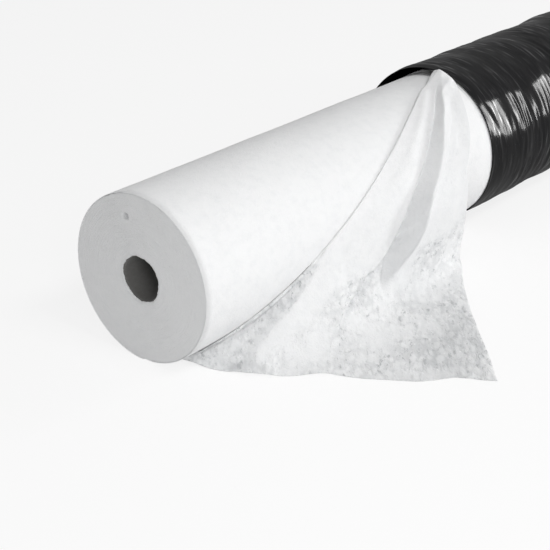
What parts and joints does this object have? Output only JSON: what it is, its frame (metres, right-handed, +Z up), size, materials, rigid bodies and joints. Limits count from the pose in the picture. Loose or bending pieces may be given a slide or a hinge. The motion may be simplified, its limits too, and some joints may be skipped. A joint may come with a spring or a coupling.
{
  "type": "geotextile roll",
  "caption": "Wide roll of white nonwoven fabric on a board core, its outer layer peeled over the floor at the open end, the far end inside a loose black film sleeve.",
  "frame": {"origin": "on the floor under the roll's axis, half way along the roll", "axes": "+X along the roll's axis from its open end to its film-covered end, +Y to the side away from the peeled flap, +Z up"},
  "size_m": [2.0074, 0.634, 0.3058],
  "materials": {
    "core_board": "matt grey board, spiral wound",
    "white_nonwoven": "matt white needled or thermally bonded fibre",
    "black_film": "glossy wrinkled polyethylene film"
  },
  "bodies": {
    "roll": {"core_tube": "core_board", "fabric_windings": "white_nonwoven", "fabric_outer_turn": "white_nonwoven", "loose_tail": "white_nonwoven"},
    "film": {"film_sleeve": "black_film"}
  },
  "joints": [
    {"name": "film_slide", "type": "slide", "parent": "roll", "child": "film", "axis": [1, 0, 0], "range_m": [0, 1.25]}
  ]
}
